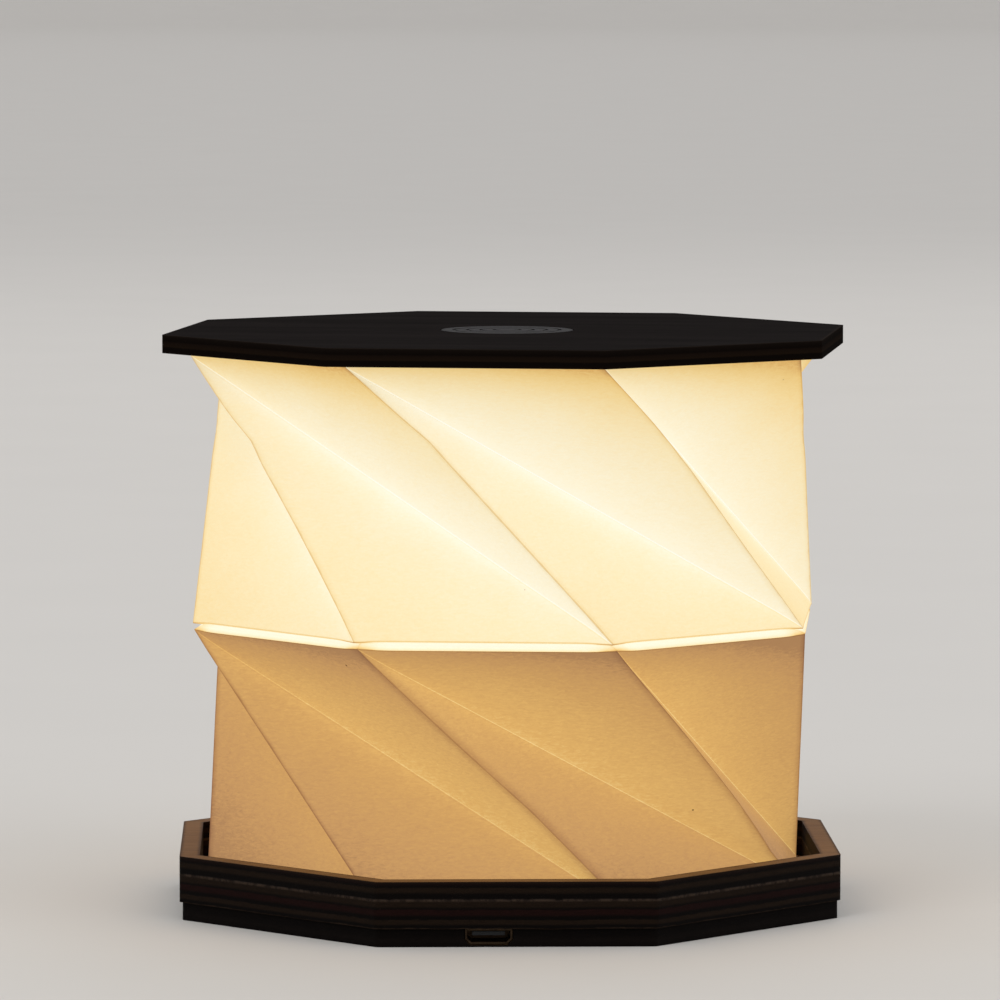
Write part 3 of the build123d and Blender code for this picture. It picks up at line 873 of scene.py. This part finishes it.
def glue_beads():
    """Drops of glue round the foot of the shade, squeezed out onto the deck."""
    luck = np.random.default_rng(7)
    amber = Finish("set_glue", Roughness=0.25, Specular_IOR_Level=0.5)
    haze = amber.noise(amber.place(), 0.8, 3.0)
    amber.set("Base Color", amber.mix(haze, srgb(66, 42, 20), srgb(128, 92, 50)))
    amber.bump(haze, 0.05, 0.5)
    line = fold_ring(foot_radius + 0.35, deck_top, foot_turn)
    per_side = 11
    kit = bmesh.new()
    for k in range(side_count):
        start, end = line[k], line[(k + 1) % side_count]
        heading = math.atan2(end[1] - start[1], end[0] - start[0])
        for n in range(per_side):
            share = (n + luck.uniform(0.1, 0.9)) / per_side
            size = luck.uniform(0.35, 0.75)
            length = size * luck.uniform(1.0, 1.6)
            middle = Matrix.Translation(Vector(start + (end - start) * share))
            spread = Matrix.Diagonal((length, size * 0.8, size * 0.75, 1.0))
            place = middle @ Matrix.Rotation(heading, 4, "Z") @ spread
            bmesh.ops.create_icosphere(kit, subdivisions=2, radius=1.0, matrix=place)
    for vertex in kit.verts:
        vertex.co.z = max(vertex.co.z, deck_top)
        vertex.co *= mm
    mesh = bpy.data.meshes.new("glue_beads")
    kit.to_mesh(mesh)
    kit.free()
    mesh.shade_smooth()
    mesh.materials.append(amber.material)
    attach(put("glue_beads", mesh), "base")


lower_foot = deck_top + flap_thick + edge_gap
lower_head = fold_bottom - edge_gap
upper_foot = fold_top + edge_gap
upper_head = plate_bottom - flap_thick - edge_gap
head_line = fold_ring(shade_radius, upper_head, head_turn)
head_line[right_corner, :2] *= 1 + corner_bulge / shade_radius

shade_paper = lit_paper()
lower_shade = tier(
    "lower_shade",
    fold_ring(shade_radius, lower_head, fold_turn),
    fold_ring(foot_radius, lower_foot, foot_turn),
    lower_ridges,
    darkest=0.02, brightest=0.41, foot_fall=0.82, side_fall=0.10, valley_glow=0.15,
)
upper_shade = tier(
    "upper_shade",
    head_line,
    fold_ring(shade_radius, upper_foot, upper_turn),
    upper_ridges,
    darkest=0.48, brightest=0.87, foot_fall=0.30, side_fall=0.06, valley_glow=0.32,
)
waist_fold = waist()
foot_flaps = flaps("foot_flaps", foot_radius, foot_turn, deck_top + flap_thick, 1, 0.2)
head_flaps = flaps("head_flaps", shade_radius, head_turn, plate_bottom - flap_thick, -1, 0.5)

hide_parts("shade_lower")
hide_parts("shade_upper")
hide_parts("mid_fold")
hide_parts("shade_foot_hem")
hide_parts("shade_head_hem")
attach(lower_shade, "lower_tier")
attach(upper_shade, "upper_tier")
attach(waist_fold, "middle")
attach(foot_flaps, "base")
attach(head_flaps, "lid")
glue_beads()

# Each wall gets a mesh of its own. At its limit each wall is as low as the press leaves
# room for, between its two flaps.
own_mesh(lower_shade)
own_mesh(upper_shade)

# ---------------------------------------------------------------- studio
pale = srgb(206, 203, 198)
floor_reach = 10.0           # in metres, as all of the studio
wall_curve = 1.5


def backdrop():
    """A wide round floor that curves up into a low wall, far behind the lantern."""
    profile = [(0.0, 0.0), (1.0, 0.0), (3.0, 0.0), (6.0, 0.0), (floor_reach, 0.0)]
    for n in range(1, 13):
        angle = math.radians(n * 7.5)
        radius = floor_reach + wall_curve * math.sin(angle)
        profile.append((radius, wall_curve - wall_curve * math.cos(angle)))
    around = 96
    points = []
    for radius, height in profile:
        for n in range(around):
            angle = 2 * math.pi * n / around
            points.append((radius * math.cos(angle), radius * math.sin(angle), height))
    mesh = bpy.data.meshes.new("studio_floor")
    mesh.from_pydata(points, [], between_rings(len(profile), around))
    mesh.shade_smooth()
    paint = Finish("studio_paint", Roughness=0.95, Specular_IOR_Level=0.1)
    mottle = paint.noise(paint.place(), 60.0, 2.0)
    paint.set("Base Color", paint.mix(mottle, scaled(pale, 0.985), scaled(pale, 1.015)))
    mesh.materials.append(paint.material)
    put("studio_floor", mesh)


def softbox(name, place, aim, size, energy):
    light = bpy.data.lights.new(name, "AREA")
    light.shape = "DISK"
    light.size = size
    light.energy = energy
    lamp = put(name, light)
    lamp.location = place
    lamp.rotation_euler = (Vector(aim) - Vector(place)).to_track_quat("-Z", "Y").to_euler()


backdrop()
lantern = (0, 0, 0.05)
softbox("key", (-1.1, -1.3, 1.5), lantern, 1.2, 9)
softbox("fill", (1.4, -0.9, 1.0), lantern, 1.4, 5)
softbox("back", (0.3, 1.6, 1.4), lantern, 1.2, 4)

world = bpy.data.worlds.new("studio")
world.use_nodes = True
sky = world.node_tree.nodes["Background"].inputs
sky["Color"].default_value = srgb(236, 236, 238)
sky["Strength"].default_value = 0.95
bpy.context.scene.world = world

# ---------------------------------------------------------------- camera
picture_width = 1000         # in pixels, as the focal length
focal_pixels = 6974.242
film_width = 36
camera_place = (-34.269, -1152.586, 161.798)
camera_heading = 1.646       # from +Y towards +X
camera_pitch = 4.704         # looking down
camera_roll = 0.061


def camera():
    heading, pitch, roll = (math.radians(a) for a in (camera_heading, camera_pitch, camera_roll))
    right = Vector((math.cos(heading), -math.sin(heading), 0))
    ahead = Vector((
        math.sin(heading) * math.cos(pitch), math.cos(heading) * math.cos(pitch), -math.sin(pitch)
    ))
    up = right.cross(ahead)
    across = right * math.cos(roll) + up * math.sin(roll)
    upward = up * math.cos(roll) - right * math.sin(roll)
    data = bpy.data.cameras.new("camera")
    data.sensor_width = film_width
    data.lens = focal_pixels * film_width / picture_width
    data.clip_end = 50
    made = put("camera", data)
    turn = Matrix((across, upward, -ahead)).transposed().to_4x4()
    made.matrix_world = Matrix.Translation(Vector(camera_place) * mm) @ turn
    bpy.context.scene.camera = made


camera()
bpy.context.scene.view_settings.view_transform = "Standard"
